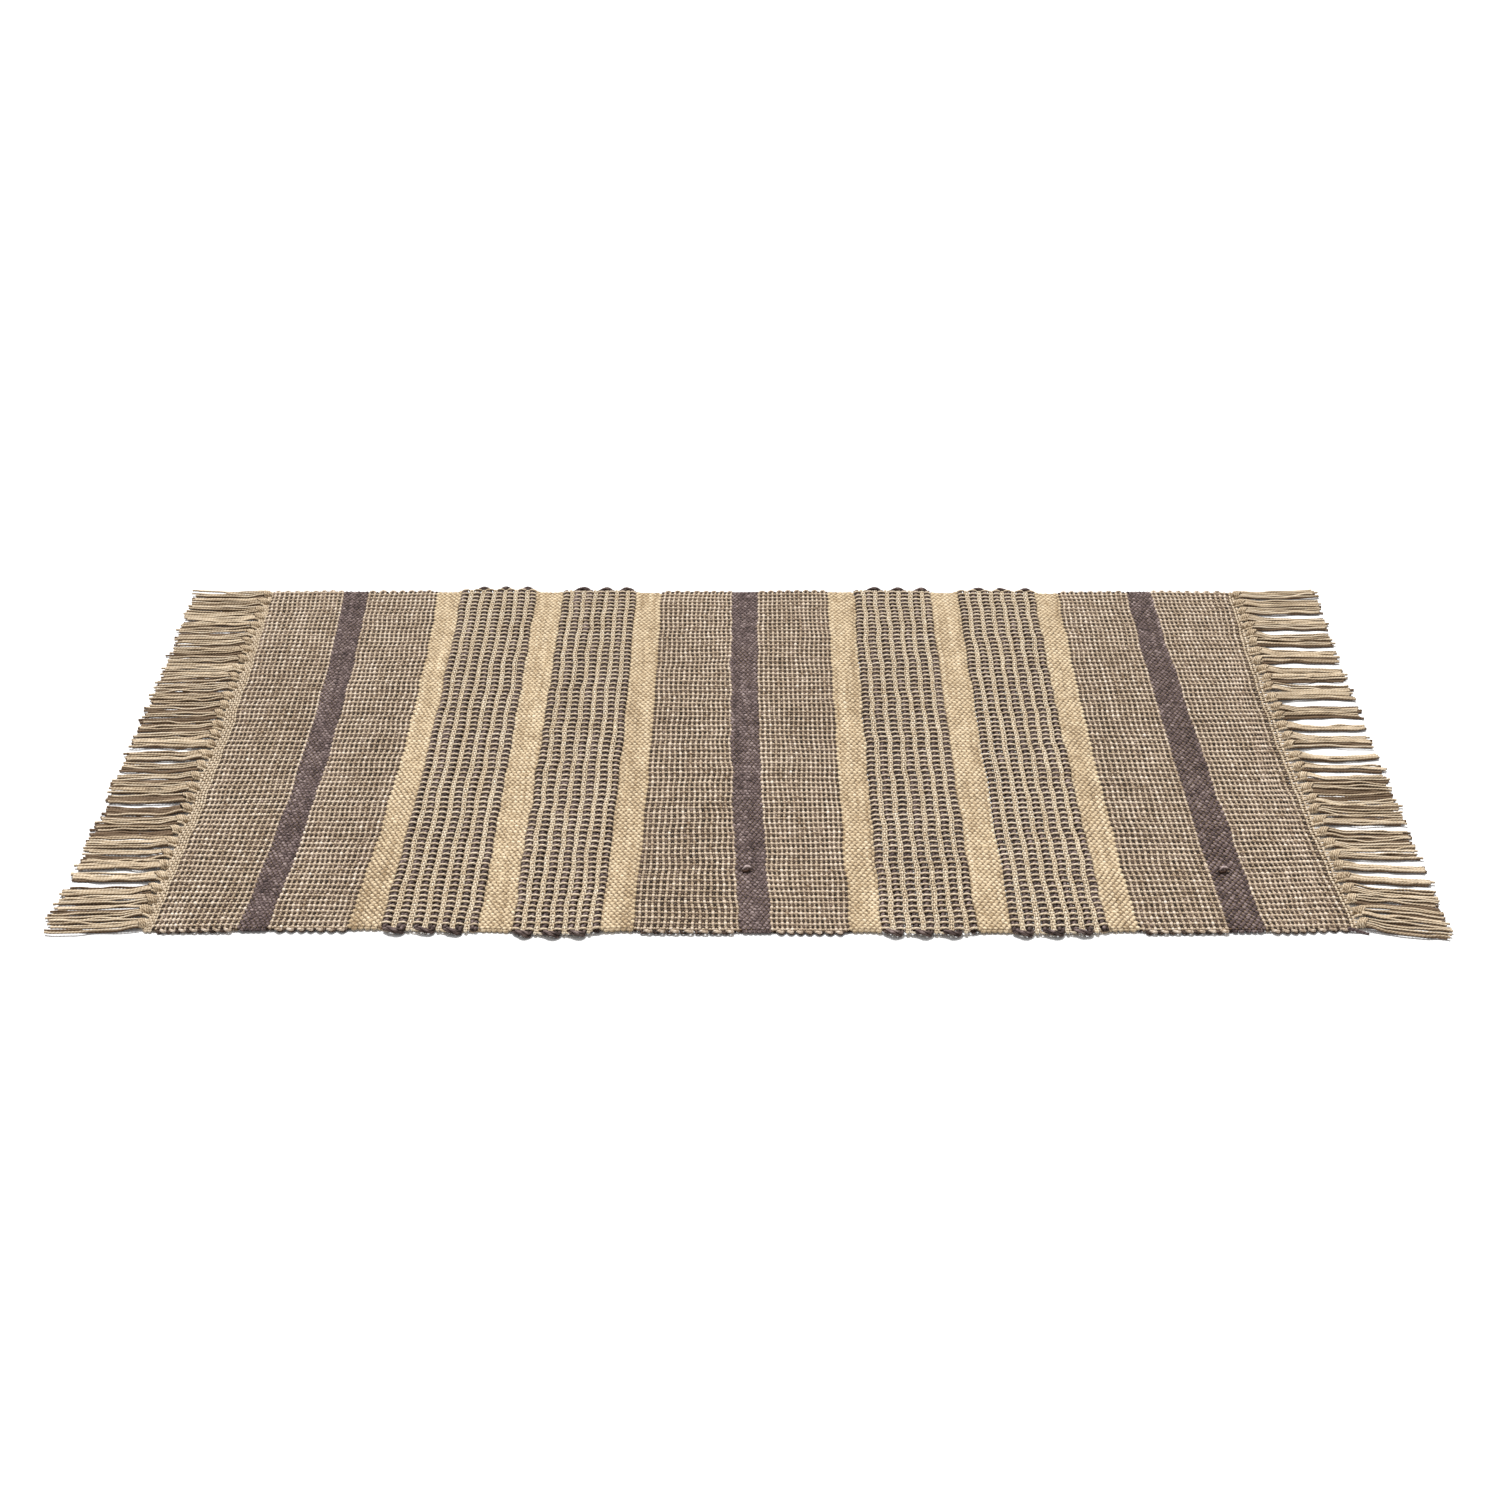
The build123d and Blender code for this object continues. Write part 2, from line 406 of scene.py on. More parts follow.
def yarn_material(name, deep, body, bright, turn=PLY_TURN, mottle=0.5):
    """Spun cotton: fibre streaks and ply grooves that follow each yarn, and uneven dye."""
    material = bpy.data.materials.new(name)
    material.use_nodes = True
    tree = material.node_tree
    shader = tree.nodes["Principled BSDF"]
    shader.inputs["Specular IOR Level"].default_value = 0.25
    shader.inputs["Sheen Weight"].default_value = 0.25
    shader.inputs["Sheen Roughness"].default_value = 0.45
    shader.inputs["Sheen Tint"].default_value = (*bright, 1)

    def node(kind, **values):
        made = tree.nodes.new(kind)
        for key, value in values.items():
            setattr(made, key, value)
        return made

    def math_node(operation, a, b=0.0, c=0.0):
        made = node("ShaderNodeMath", operation=operation)
        for socket, value in zip(made.inputs, (a, b, c)):
            if isinstance(value, (int, float)):
                socket.default_value = value
            else:
                tree.links.new(value, socket)
        return made.outputs[0]

    def noise(vector, scale, detail, roughness=0.55):
        made = node("ShaderNodeTexNoise")
        made.inputs["Scale"].default_value = scale
        made.inputs["Detail"].default_value = detail
        made.inputs["Roughness"].default_value = roughness
        tree.links.new(vector, made.inputs["Vector"])
        return made.outputs["Fac"]

    yarn = node("ShaderNodeUVMap", uv_map="yarn")
    parts = node("ShaderNodeSeparateXYZ")
    tree.links.new(yarn.outputs[0], parts.inputs[0])
    around, along = parts.outputs[0], parts.outputs[1]
    tint = node("ShaderNodeAttribute", attribute_name="tint").outputs["Fac"]
    # The painted shade of each point: 1 keeps the colour, 0 is painted darkest
    opened = node("ShaderNodeAttribute", attribute_name="painted_light_share").outputs["Fac"]

    # Ply grooves wind around the yarn
    winding = math_node("MULTIPLY_ADD", along, -2 / (turn * MM), math_node("MULTIPLY", around, 2))
    groove = math_node("COSINE", math_node("MULTIPLY", winding, 2 * math.pi))
    # Fibres run with the plies
    streak_place = node("ShaderNodeCombineXYZ")
    tree.links.new(math_node("MULTIPLY", winding, 5.0), streak_place.inputs[0])
    tree.links.new(math_node("MULTIPLY", along, 180.0), streak_place.inputs[1])
    tree.links.new(math_node("MULTIPLY", tint, 40.0), streak_place.inputs[2])
    streak = noise(streak_place.outputs[0], 1.0, 2.0)
    place = node("ShaderNodeTexCoord").outputs["Object"]
    specks = noise(place, 900.0, 2.0)
    patches = noise(place, 70.0, 3.0, 0.65)

    shade = math_node("MULTIPLY_ADD", tint, 0.5, 0.5)
    shade = math_node("MULTIPLY_ADD", math_node("SUBTRACT", patches, 0.5), mottle, shade)
    shade = math_node("MULTIPLY_ADD", math_node("SUBTRACT", streak, 0.5), 0.55, shade)
    shade = math_node("MULTIPLY_ADD", math_node("SUBTRACT", specks, 0.5), 0.5, shade)
    # Painted shade and light: the colour is darker in the ply grooves and lighter on the plies
    shade = math_node("MULTIPLY_ADD", groove, 0.15, shade)
    ramp = node("ShaderNodeValToRGB")
    ramp.color_ramp.elements[0].color = (*deep, 1)
    ramp.color_ramp.elements[1].color = (*bright, 1)
    middle = ramp.color_ramp.elements.new(0.5)
    middle.color = (*body, 1)
    tree.links.new(shade, ramp.inputs[0])
    # Painted shade: the colour is painted darker deep between the yarns, where shade falls
    depth = node("ShaderNodeMix", data_type="RGBA", blend_type="MULTIPLY")
    depth.inputs["Factor"].default_value = 1.0
    painted_shade = node("ShaderNodeMix", data_type="RGBA")
    painted_shade.inputs["A"].default_value = (*PAINTED_RECESS_SHADE, 1)
    painted_shade.inputs["B"].default_value = (1, 1, 1, 1)
    tree.links.new(opened, painted_shade.inputs["Factor"])
    tree.links.new(ramp.outputs[0], depth.inputs["A"])
    tree.links.new(painted_shade.outputs["Result"], depth.inputs["B"])
    tree.links.new(depth.outputs["Result"], shader.inputs["Base Color"])

    rough = math_node("MULTIPLY_ADD", streak, 0.25, 0.72)
    tree.links.new(rough, shader.inputs["Roughness"])
    height = math_node("MULTIPLY_ADD", groove, 0.35, math_node("MULTIPLY", streak, 0.9))
    height = math_node("MULTIPLY_ADD", specks, 0.4, height)
    relief = node("ShaderNodeBump")
    relief.inputs["Strength"].default_value = 0.5
    relief.inputs["Distance"].default_value = 0.25 * MM
    tree.links.new(height, relief.inputs["Height"])
    tree.links.new(relief.outputs[0], shader.inputs["Normal"])
    return material


def levels(red, green, blue):
    """A colour given in 0 to 255 display levels, as linear light."""
    shown = np.array([red, green, blue]) / 255
    return tuple(np.where(shown <= 0.04045, shown / 12.92, ((shown + 0.055) / 1.055) ** 2.4))


# The darkest, middle and brightest colour of each yarn
warp_yarn = yarn_material("greige cotton", levels(122, 97, 69), levels(208, 187, 157),
                          levels(247, 232, 208))
sand_yarn = yarn_material("sand cotton", levels(166, 140, 105), levels(232, 211, 176),
                          levels(255, 245, 224))
pale_yarn = yarn_material("pale cotton", levels(136, 111, 86), levels(214, 194, 171),
                          levels(248, 236, 221))
# The dark wefts of the check bands are a dark yarn painted browner and darker: the brown is painted
# shade between the pale yarns
check_dark_yarn_in_painted_shade = yarn_material("aubergine cotton in painted brown shade", levels(38, 25, 15), levels(100, 80, 67),
                           levels(168, 149, 137), mottle=0.8)
dark_yarn = yarn_material("aubergine cotton", levels(44, 32, 32), levels(108, 91, 89),
                          levels(176, 159, 155), mottle=0.7)
cord_yarn = yarn_material("thick aubergine cotton", levels(42, 31, 29), levels(104, 87, 83),
                          levels(168, 150, 144), turn=2 * PLY_TURN)


# ---------------------------------------------------------------- warps
def warps_of(k):
    """The first warp of fringe knot k, and the first one of the next knot."""
    return round(WARP_COUNT * k / KNOT_COUNT), round(WARP_COUNT * (k + 1) / KNOT_COUNT)


def knot_place(i):
    """Y of the fringe knot that warp i goes into."""
    for k in range(KNOT_COUNT):
        first, after = warps_of(k)
        if first <= i < after:
            return warp_place((first + after - 1) / 2)


# From the middle of the cloth to its face, for the painted shade of the warps between the yarns
FACE = 2.0
FACES = {"cord": 3.0, "fine": 1.15, "plain": 1.3, "check_dark": 1.55, "check_sand": 1.55}


def warp_samples():
    """Places along a warp: x, its height over or under the pick there, the pick, and the face."""
    places = []
    for here, pick in enumerate(picks):
        if pick.kind == "cord":
            for step in CORD_STEPS:
                share = math.sqrt(1 - (step / (pick.wide + WARP_WIDE)) ** 2)
                level = (pick.high + WARP_HIGH) * share - pick.dip
                places.append((pick.x + step * MM, level * MM, here, FACES["cord"]))
        else:
            places.append((pick.x, pick.rise * MM, here, FACES.get(pick.kind, FACE)))
        if here + 1 == len(picks):
            break
        following = picks[here + 1]
        seen = pick.rise > 0.3 or following.rise > 0.3
        if seen and "cord" not in (pick.kind, following.kind):
            places.append(((pick.x + following.x) / 2, 0.0, here, FACES.get(pick.kind, FACE)))
    return np.array(places)


samples = warp_samples()
KNOT_HEIGHT = 3.9            # middle of a knot above the floor
GATHER = 0.35                # how far the warps close in on the middle of their knot


def warp_path(i):
    """The line of warp i, from inside one knot to inside the other."""
    x, level, number, face = samples.T
    sign = np.where((i + number.astype(int)) % 2 == 0, 1.0, -1.0)
    level = level * sign * (1 + rng.normal(0, 0.07, len(level)))
    into = np.array([1.0, 3.0, 5.5]) * MM
    x = np.concatenate([-end_x - into[::-1], x, end_x + into])
    level = np.concatenate([np.zeros(3), level, np.zeros(3)])
    face = np.concatenate([np.full(3, FACE), face, np.full(3, FACE)]) * MM
    own, knot = warp_place(i), knot_place(i)
    gathered = smooth((np.abs(x) - end_x + 5 * MM) / (8 * MM))
    y = own + (knot - own) * GATHER * gathered + drift(len(x), 22, 0.16 * MM)
    z = middle_height(x) + level
    z = z + (KNOT_HEIGHT * MM - z) * smooth((np.abs(x) - end_x + 3 * MM) / (7 * MM))
    moved_x, moved_y = lay(x, y)
    middle = middle_height(x) + ripple(x, y)
    return np.stack([moved_x, moved_y, z + ripple(x, y)], -1), middle, x, face[:, None]


STRIPS = 12                  # the warps are grouped so that no mesh gets too large
for number, group in enumerate(np.array_split(np.arange(WARP_COUNT), STRIPS)):
    yarns = Yarns()
    for i in group:
        path, middle, x, face = warp_path(i)
        swell = 1 + drift(len(path), 14, 0.05) + rng.normal(0, 0.03)
        tint = drift(len(path), 30, 0.14) + rng.normal(0, 0.12)
        squeezed = 1 + 0.08 * share_of("dash", x) + 0.18 * share_of("check", x)
        # The warps are painted lighter in the dash bands, a painted highlight on their arcs over
        # the thick wefts, and a little darker in the check bands
        tint = tint + 0.26 * share_of("dash", x) - 0.06 * share_of("check", x)
        rings, along, ends = tube_rings(path, WARP_WIDE * MM * swell * squeezed,
                                        WARP_HIGH * MM * swell, YARN_SIDES)
        # Painted shade between the yarns, lifted where the warps leave the cloth
        outside = smooth((np.abs(x) - end_x) / MM)[:, None]
        opened = np.maximum(painted_recess_light(rings, middle, face), outside)
        yarns.add(rings, along, ends, tint, opened=opened)
    strip = yarns.build(f"warps_{number + 1:02d}", [warp_yarn])

# ---------------------------------------------------------------- wefts
warp_numbers = np.arange(WARP_COUNT)
warp_y = warp_place(warp_numbers)
END_Y = 0.6 * MM             # a pick starts to turn this far inside the cloth's edge
# How a weft turns back: how far it reaches out, how thick it is there, how far along the edge the
# bulge is shifted, how much narrower it gets, how it slopes from one pick to the next, and its lift
TURNS = {
    "plain": (1.3, 0.9, 0.0, 0.0, 0.0, 0.0),
    "check_dark": (2.3, 0.95, -1.06, 0.20, 0.7, -0.5),
    "check_sand": (2.4, 0.90, 1.06, 0.20, 0.7, 0.8),
    "dark": (1.3, 0.8, 0.0, 0.0, 0.0, 0.0),
    "sand": (1.2, 0.8, 0.0, 0.0, 0.0, 0.0),
    "cord": (3.0, 0.70, 2.2, 0.1, 2.2, 0.5),
    "fine": (1.4, 1.2, 0.0, 0.0, 0.0, 0.0),
}
# The painted shade and tone of each kind of pick: the least share of its colour that the painted
# shade between the yarns leaves, how much lighter its colour is, and how uneven
PAINTED_SHADE_AND_TONE = {
    "plain": (0.45, 0.50, 0.10),
    "fine": (0.40, 0.36, 0.34),
    "dark": (0.0, -0.12, 0.30),
    "sand": (0.48, -0.34, 0.12),
    "check_dark": (0.0, -0.56, 0.40),
    "check_sand": (0.10, -0.11, 0.30),
    "cord": (0.0, -0.20, 0.20),
}
# The thicker wefts are level for a part of each float: from where to where, in warp pitches
FLOAT_TOPS = dict.fromkeys(("check_dark", "check_sand", "dark", "sand"), (-0.19, 0.19))
SLUB_EVERY = 420             # mean length of yarn from one slub to the next


def pass_line(pick):
    """One pass of a pick from the front edge to the back edge: points, width and height factors."""
    tops = FLOAT_TOPS.get(pick.kind, (0.0,))
    every = len(tops) + 1
    y = np.empty(every * WARP_COUNT + 1)
    y[every:-1:every] = (warp_y[1:] + warp_y[:-1]) / 2
    y[0] = -edge_y + END_Y
    y[-1] = edge_y - END_Y
    level = np.zeros(len(y))
    over = np.where((warp_numbers + pick.number) % 2 == 0, -1.0, 1.0)
    over *= pick.dip * MM * (1 + rng.normal(0, 0.08, WARP_COUNT))
    for n, top in enumerate(tops):
        y[n + 1::every] = warp_y + top * np.gradient(warp_y)
        level[n + 1::every] = over
    thin = np.ones(len(y))
    thin[::every] = pick.narrow
    x = pick.x + drift(len(y), 30, 0.10 * MM)
    moved_x, moved_y = lay(x, y)
    middle = middle_height(x) + ripple(x, y)
    return np.stack([moved_x, moved_y, middle + level], -1), thin, middle


def turn_line(a, b, side):
    """The line of a weft that turns back at an edge, from pick a to pick b."""
    reach, full, shift, squeeze, climb, lift = TURNS[a.kind]
    angle = np.linspace(0, math.pi, 11)[1:-1]
    bulge = np.sin(angle)
    span = (b.x - a.x) / 2
    x = (a.x + b.x) / 2 - span * np.cos(angle) * (1 - squeeze * bulge) + shift * MM * bulge
    y = side * (edge_y - END_Y + reach * MM * bulge)
    moved_x, moved_y = lay(x, y)
    middle = middle_height(x) + ripple(x, y)
    z = middle + (climb * np.cos(angle) + lift) * MM * bulge
    return np.stack([moved_x, moved_y, z], -1), full * (1 + 0.1 * bulge), middle


def slubs(along):
    """Thick places in a hand-spun yarn."""
    factor = np.ones(len(along))
    for place in rng.uniform(0, along[-1], rng.poisson(along[-1] / (SLUB_EVERY * MM))):
        fuller, reach = rng.uniform(0.12, 0.4), rng.uniform(3, 8) * MM
        factor += fuller * np.exp(-((along - place) / reach) ** 2)
    return factor


STRANDS = 3                  # the thick wefts are three strands twisted together
STRAND_SPREAD = 0.52         # how far the strands lie from a cord's middle, in shares of its size
STRAND_SHARE = 0.50          # how thick each is, in the same shares
CORD_TURN = 26 * MM          # one turn of that twist


def cord_strands(path, wide, high):
    """The strands of a thick weft: line, half width, half height, and the painted shade of each
    point, dark where a strand faces the middle of the cord.
    """
    tangent, side, lift = directions(path)
    along = length_along(path)
    made = []
    for s in range(STRANDS):
        angle = 2 * math.pi * (s / STRANDS - along / CORD_TURN)
        away = (wide * np.cos(angle))[:, None] * side + (high * np.sin(angle))[:, None] * lift
        # Painted shade: each strand is painted dark where it faces the other strands
        facing = np.cos(ring_angles(YARN_SIDES)[None, :] - angle[:, None])
        shade = 0.25 + 0.75 * smooth((facing + 0.45) / 1.15)
        made.append((path + STRAND_SPREAD * away, STRAND_SHARE * wide, STRAND_SHARE * high, shade))
    return made


def weave(group, body, turns, start_side, slot):
    """One weft that goes back and forth through a group of picks.

    Its passes go into body, and its turns into turns[side], which may be the same piece.
    """
    lines, thins, middles, cuts = [], [], [], []
    side = start_side
    for number, pick in enumerate(group):
        line, thin, middle = pass_line(pick)
        step = -side
        lines.append(line[::step])
        thins.append(thin[::step])
        middles.append(middle[::step])
        cuts.append((body, len(line)))
        side = -side
        if number + 1 < len(group):
            bend, thin, middle = turn_line(pick, group[number + 1], side)
            lines.append(bend)
            thins.append(thin)
            middles.append(middle)
            cuts.append((turns[side], len(bend)))
    path = np.concatenate(lines)
    thin = np.concatenate(thins)
    middle = np.concatenate(middles)
    weft = group[0]
    swell = slubs(length_along(path)) * (1 + drift(len(path), 60, 0.05))
    least_painted_light, lighter, uneven = PAINTED_SHADE_AND_TONE[weft.kind]
    tint = lighter + drift(len(path), 90, 0.14) + drift(len(path), 13, 0.08)
    tint = tint + rng.normal(0, uneven, len(path))
    tall = np.maximum(1 + 0.25 * (1 - thin), thin)
    wide, high = weft.wide * MM * thin * swell, weft.high * MM * tall * swell
    strands = [(path, wide, high, 1.0)]
    least_painted_light_outside = 0.6
    if weft.kind == "cord":
        strands = cord_strands(path, wide, high)
        least_painted_light_outside = 0.35
    for strand, (line, wide, high, shade) in enumerate(strands):
        rings, along, ends = tube_rings(line, wide, high, YARN_SIDES)
        opened = np.maximum(painted_recess_light(rings, middle, (weft.dip + weft.high) * MM), least_painted_light)
        at = 0
        for number, (piece, length) in enumerate(cuts):
            low, after = at, at + length
            if number % 2 == 1:
                low, after = low - 1, after + 1
                # The turns at the edges keep more of their colour under the painted shade
                opened[low:after] = np.maximum(opened[low:after], least_painted_light_outside)
            part = rings[low:after]
            caps = np.stack([part[0].mean(0), part[-1].mean(0)])
            painted_light_here = (opened * shade)[low:after]
            tint_here = tint[low:after] + 0.1 * strand
            piece.add(part, along[low:after], caps, tint_here, slot, painted_light_here)
            at += length


band_yarns = {}
edge_yarns = {"edge_twists": {-1: Yarns(), 1: Yarns()}, "cord_turns": {-1: Yarns(), 1: Yarns()}}
for low, high, kind, node in bands:
    members = [pick for pick in picks if pick.band == node]
    body = band_yarns[node] = Yarns()
    if kind == "check":
        for slot, yarn in enumerate(("dark", "sand")):
            group = [pick for pick in members if pick.yarn == yarn]
            weave(group, body, edge_yarns["edge_twists"], -1, slot)
    elif kind == "dash":
        fine = [pick for pick in members if pick.kind == "fine"]
        weave(fine, body, {-1: body, 1: body}, -1, 0)
        cords = band_yarns[node.replace("ground", "cords")] = Yarns()
        thick = [pick for pick in members if pick.kind == "cord"]
        weave(thick, cords, edge_yarns["cord_turns"], 1, 0)
    else:
        weave(members, body, {-1: body, 1: body}, -1, 0)

# The yarns of each kind of node, and their slot
LOOKS = {
    "header": ([warp_yarn], "warp"),
    "check_band": ([check_dark_yarn_in_painted_shade, pale_yarn], "check"),
    "dark_stripe": ([dark_yarn], "dark"),
    "sand_stripe": ([sand_yarn], "sand"),
    "dash_ground": ([sand_yarn], "sand"),
    "dash_cords": ([cord_yarn], "dark_bundle"),
    "edge_twists": ([check_dark_yarn_in_painted_shade, pale_yarn], "check"),
    "cord_turns": ([cord_yarn], "dark_bundle"),
    "fringe_knots": ([warp_yarn], "warp"),
    "tassels": ([warp_yarn], "warp"),
    "splice": ([dark_yarn], "dark"),
    "weft": ([dark_yarn], "dark"),
}


def finished(yarns, node, name):
    """One piece from its yarns, in place of its CAD node."""
    look, slot = LOOKS[node.rsplit("_", 1)[0]]
    piece = yarns.build(name, look)
    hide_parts(node)
    return piece


wefts = [finished(yarns, node, node + "_wefts") for node, yarns in band_yarns.items()]
for start, by_side in edge_yarns.items():
    for side, word in ((-1, "front"), (1, "back")):
        wefts.append(finished(by_side[side], f"{start}_{word}", f"{start}_{word}_yarn"))


# ---------------------------------------------------------------- fringe
KNOT_FROM_END = 3.2          # from the end of the cloth to the middle of a knot
KNOT_RADIUS = 2.9
KNOT_HALF_LENGTH = 5.5
KNOT_SHAPE = (1.38, 0.96)    # how much wider and flatter than round it is
KNOT_TURNS = 1.2             # how often a strand goes around its knot
KNOT_STEPS = 30
KNOT_STRAND = 0.9            # radius of a strand in a knot
KNOT_STRAND_PITCH = 1.7
KNOT_SIDES = 8
STRAND_GROOVE = 0.16
STRAND_RADIUS = 1.0
TASSEL_STEPS = 54
TASSEL_AT_KNOT = 11.5        # width of a tassel where it leaves its knot
THREADS_PER_WARP = 2         # each warp is two threads, which part in the fringe
LOWER_THREAD_PAINTED_LIGHT = 0.16           # how much colour the lower threads of a tassel keep under their painted shade
# The tassels of each fringe: length, its growth to the back, what the length and the bend gain
# toward the front and the back corner and over which share of the fringe, and how wide a parting is
TASSELS = {
    -1: {"length": 63.2, "growth": 0.0, "length_gain": ((4.3, 0.25), (2.4, 0.25)),
         "bend": ((-3.0, 0.15), (5.0, 0.20)), "parted": 4.0},
    1: {"length": 62.0, "growth": 8.0, "length_gain": ((-2.5, 0.10), (0.0, 0.20)),
        "bend": ((-9.0, 0.25), (3.0, 0.20)), "parted": 5.2},
}
# Where the fringe parts, counted in knots from the front
PARTINGS = {-1: (4, 5, 11, 14, 16),
            1: (4, 5, 6, 9, 14, 15, 16, 18, 19, 21, 23, 25, 27, 29, 31, 33)}


def knot_middle(k, side):
    """Where knot k lies, and how many warps go into it."""
    first, after = warps_of(k)
    x = side * (end_x + KNOT_FROM_END * MM)
    y = warp_place((first + after - 1) / 2)
    moved_x, moved_y = lay(np.array([x]), np.array([y]))
    return np.array([moved_x[0], moved_y[0], KNOT_HEIGHT * MM]), after - first


def painted_underside_shade(sides):
    """Painted shade: the lower or inner face of each strand, where it lies against its neighbours,
    is painted dark.
    """
    return smooth((np.sin(ring_angles(sides)) + 0.25) / 1.2)[None, :]


def knot_strand(middle, side, offset, phase, lean, radius):
    """The path of one strand wound around a knot, and the way out from the knot's axis."""
    share = np.linspace(0, 1, KNOT_STEPS)
    angle = phase + 2 * math.pi * KNOT_TURNS * share
    tuck = 0.35 + 0.65 * smooth(np.minimum(share, 1 - share) / 0.12)
    reach = radius * tuck
    x = side * (offset + lean * np.cos(angle) + 1.2 * MM * (share - 0.5))
    y = KNOT_SHAPE[0] * reach * np.cos(angle)
    z = KNOT_SHAPE[1] * reach * np.sin(angle)
    out = np.stack([np.zeros(KNOT_STEPS), np.cos(angle), np.sin(angle)], -1)
    return middle + np.stack([x, y, z], -1), out


def make_knots(side):
    """All knots of one fringe."""
    yarns = Yarns()
    for k in range(KNOT_COUNT):
        middle, count = knot_middle(k, side)
        middle = middle + rng.normal(0, 0.5, 3) * MM * np.array([1.2, 1, 0.3])
        phase = rng.uniform(0, 2 * math.pi)
        lean = rng.uniform(1.4, 2.6) * MM
        size = rng.uniform(0.92, 1.1)
        for q in range(count):
            offset = (q - (count - 1) / 2) * KNOT_STRAND_PITCH * MM
            rounding = math.sqrt(1 - (offset / (KNOT_HALF_LENGTH * MM)) ** 2)
            radius = KNOT_RADIUS * MM * size * rounding
            path, out = knot_strand(middle, side, offset, phase + rng.normal(0, 0.15), lean, radius)
            # The knots are painted darker than the warps they are tied from: painted shade
            tint = rng.normal(-0.24, 0.15) + drift(KNOT_STEPS, 8, 0.08)
            rings, along, ends = tube_rings(path, KNOT_STRAND * MM, KNOT_STRAND * MM, KNOT_SIDES,
                                            up=out, groove=STRAND_GROOVE)
            yarns.add(rings, along, ends, tint, opened=painted_underside_shade(KNOT_SIDES))
    return yarns


def toward_corners(depth, front, back):
    """A gain near the front corner and another near the back corner, each as amount and reach."""
    gain = front[0] * smooth((front[1] - depth) / front[1])
    return gain + back[0] * smooth((depth - 1 + back[1]) / back[1])


def tassel_manner(side, k):
    """Length and bend of tassel k, and how far it stays away from its neighbours at each side."""
    manner = TASSELS[side]
    depth = k / (KNOT_COUNT - 1)
    length = manner["length"] + manner["growth"] * depth
    length += toward_corners(depth, *manner["length_gain"])
    bend = toward_corners(depth, *manner["bend"])
    gaps = [manner["parted"] * rng.uniform(0.75, 1.15) if edge in PARTINGS[side]
            else rng.uniform(-1.4, 0.3) for edge in (k, k + 1)]
    return length, bend + rng.normal(0, 1.2), gaps


def thread_path(side, place, total, length, bend, gaps, kink, upper):
    """The line of one thread of a tassel, from inside its knot to its tip, in millimetres."""
    share = np.linspace(0, 1, TASSEL_STEPS)
    fall = smooth((share - 0.03) / 0.22)
    part = (place + 0.5) / total
    half = 500 * 2 * edge_y / KNOT_COUNT
    resting = -half + gaps[0] + part * (2 * half - gaps[0] - gaps[1])
    spread = smooth((share + 0.02) / 0.30)
    sway = drift(TASSEL_STEPS, 12, 0.9) * smooth((share - 0.1) / 0.3)
    y = (part - 0.5) * TASSEL_AT_KNOT * (1 - spread) + resting * spread
    y += sway + bend * share ** 1.6 + kink * np.sin(math.pi * share)
    layer = 1.5 if upper else 0.0
    lift = abs(drift(TASSEL_STEPS, 12, 0.3))
    rest = STRAND_RADIUS + 0.15 + layer * (1 - 0.3 * share) + lift
    z = (KNOT_HEIGHT - 1.2 + 1.2 * layer) * (1 - fall) + rest * fall
    x = side * (2.0 + length * share)
    return np.stack([x, y, z - KNOT_HEIGHT], -1)


def make_tassels(side):
    """The cut warp ends of one fringe."""
    yarns = Yarns()
    share = np.linspace(0, 1, TASSEL_STEPS)
    frayed = 1 + 0.15 * smooth((share - 0.96) / 0.04)
    for k in range(KNOT_COUNT):
        middle, count = knot_middle(k, side)
        length, bend, gaps = tassel_manner(side, k)
        kink = rng.normal(0, 1.4)
        total = count * THREADS_PER_WARP
        for place in range(total):
            upper = place % 2 == 0 if rng.random() < 0.8 else place % 2 == 1
            own = length + rng.normal(0, 1.7)
            path = middle + thread_path(side, place, total, own, bend, gaps, kink, upper) * MM
            thick = STRAND_RADIUS * MM * (1 + rng.normal(0, 0.06)) * frayed
            tint = rng.normal(0.03, 0.18) + drift(TASSEL_STEPS, 10, 0.12)
            rings, along, ends = tube_rings(path, thick, thick * 0.96, YARN_SIDES,
                                            groove=STRAND_GROOVE)
            opened = painted_underside_shade(YARN_SIDES) * (1.0 if upper else LOWER_THREAD_PAINTED_LIGHT)
            yarns.add(rings, along, ends, tint, opened=opened)
    return yarns


for side, word in ((-1, "left"), (1, "right")):
    for start, made in (("fringe_knots", make_knots(side)), ("tassels", make_tassels(side))):
        finished(made, f"{start}_{word}", f"{start}_{word}_yarn")


# ---------------------------------------------------------------- loose details
DETAIL_SIDES = 8
DETAIL_GROOVE = 0.12
SPLICE_HEIGHT = 5.7          # middle of a weft joint above the floor
SPLICE_FROM_END = 2.2        # from the ends of the CAD node to the middles of its two joints
TAIL_ROUTE = [(442.5, -297.5, 2.8), (447.0, -298.6, 2.0), (451.5, -299.4, 1.2),
              (455.5, -301.4, 0.9)]
TAIL_RADIUS = 1.5


def add_strand(yarns, path, wide, high, tint, opened=1.0):
    """One two-ply strand, given in metres. Its painted light may be a function of the rings."""
    rings, along, ends = tube_rings(path, wide, high, DETAIL_SIDES, groove=DETAIL_GROOVE)
    yarns.add(rings, along, ends, tint, opened=opened(rings) if callable(opened) else opened)


